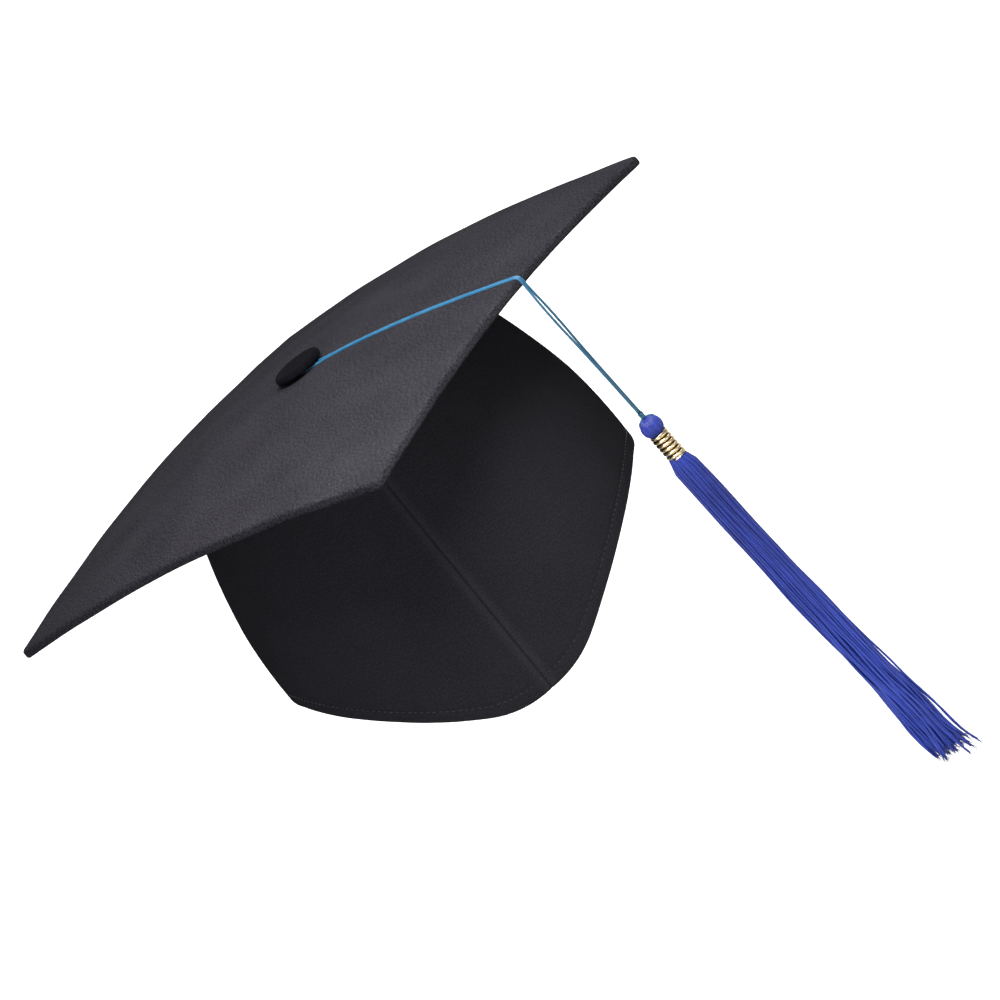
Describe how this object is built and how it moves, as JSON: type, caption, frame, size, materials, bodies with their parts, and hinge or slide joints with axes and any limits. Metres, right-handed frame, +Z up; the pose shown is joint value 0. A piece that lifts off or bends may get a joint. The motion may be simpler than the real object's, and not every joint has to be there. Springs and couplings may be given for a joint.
{
  "type": "graduation cap",
  "caption": "Square-topped graduation cap with a domed cloth-covered board, a stiffened crown with a front peak, a centre button and a corded tassel hung over the edge.",
  "frame": {"origin": "centre of the head opening, level with the crown's rim at the wearer's ears", "axes": "+Z up through the board's button, -Y to the wearer's front, +X to the wearer's left; the board's corners lie on X and Y"},
  "size_m": [0.3432, 0.3432, 0.3014],
  "materials": {
    "board_cloth": "matte black poplin with a fine grain",
    "crown_cloth": "matte black poplin, fused to its stiffener",
    "card": "grey-brown millboard",
    "stiffener": "starched open-weave buckram",
    "lining": "plain black lining cloth",
    "band": "soft black leathercloth",
    "elastic": "ribbed woven elastic",
    "button_cloth": "matte black poplin drawn over a shell",
    "button_metal": "pressed, mill finish",
    "rivet": "plated steel",
    "cord": "bright blue twisted rayon cord",
    "tassel": "royal blue rayon cords",
    "bead": "plain turned bead",
    "thread": "blue binding thread",
    "ferrule": "bright pale gilt"
  },
  "bodies": {
    "cap": {"board_card": "card", "board_top_cover": "board_cloth", "board_bottom_cover": "board_cloth", "board_edge_roll": "board_cloth", "crown_cloth_left": "crown_cloth", "crown_cloth_right": "crown_cloth", "crown_interlining_left": "stiffener", "crown_interlining_right": "stiffener", "crown_top_panel": "crown_cloth", "crown_top_stiffener": "stiffener", "crown_lining": "lining", "sweatband": "band", "rear_elastic": "elastic", "button_cloth": "button_cloth", "button_shell": "button_metal", "button_plate": "button_metal", "button_rivet": "rivet", "button_washer": "button_metal"},
    "cord_loop": {"cord_on_board": "cord"},
    "cord_drop": {"cord_drop_front": "cord", "cord_drop_rear": "cord"},
    "knot": {"cord_knot": "cord"},
    "tassel": {"tassel_bead": "bead", "tassel_head": "tassel", "tassel_binding": "thread", "tassel_ferrule": "ferrule", "tassel_skirt": "tassel"}
  },
  "joints": [
    {"name": "cord_turn", "type": "hinge", "parent": "cap", "child": "cord_loop", "pos_m": [0, 0, 0.11085], "axis": [0, 0, 1], "range_deg": [-16, 1.5]},
    {"name": "drop_swing", "type": "hinge", "parent": "cord_loop", "child": "cord_drop", "pos_m": [0.0989, -0.07644, 0.0936], "axis": [-0.6115, -0.7912, 0], "range_deg": [-10, 110]},
    {"name": "tassel_sway", "type": "hinge", "parent": "cord_drop", "child": "knot", "pos_m": [0.10285, -0.07644, 0.0183], "axis": [0.7901, -0.6115, 0.0414], "range_deg": [-60, 60]},
    {"name": "tassel_spin", "type": "hinge", "parent": "knot", "child": "tassel", "pos_m": [0.10285, -0.07644, 0.0183], "axis": [-0.0523, 0, 0.9986], "range_deg": [-180, 180]}
  ]
}
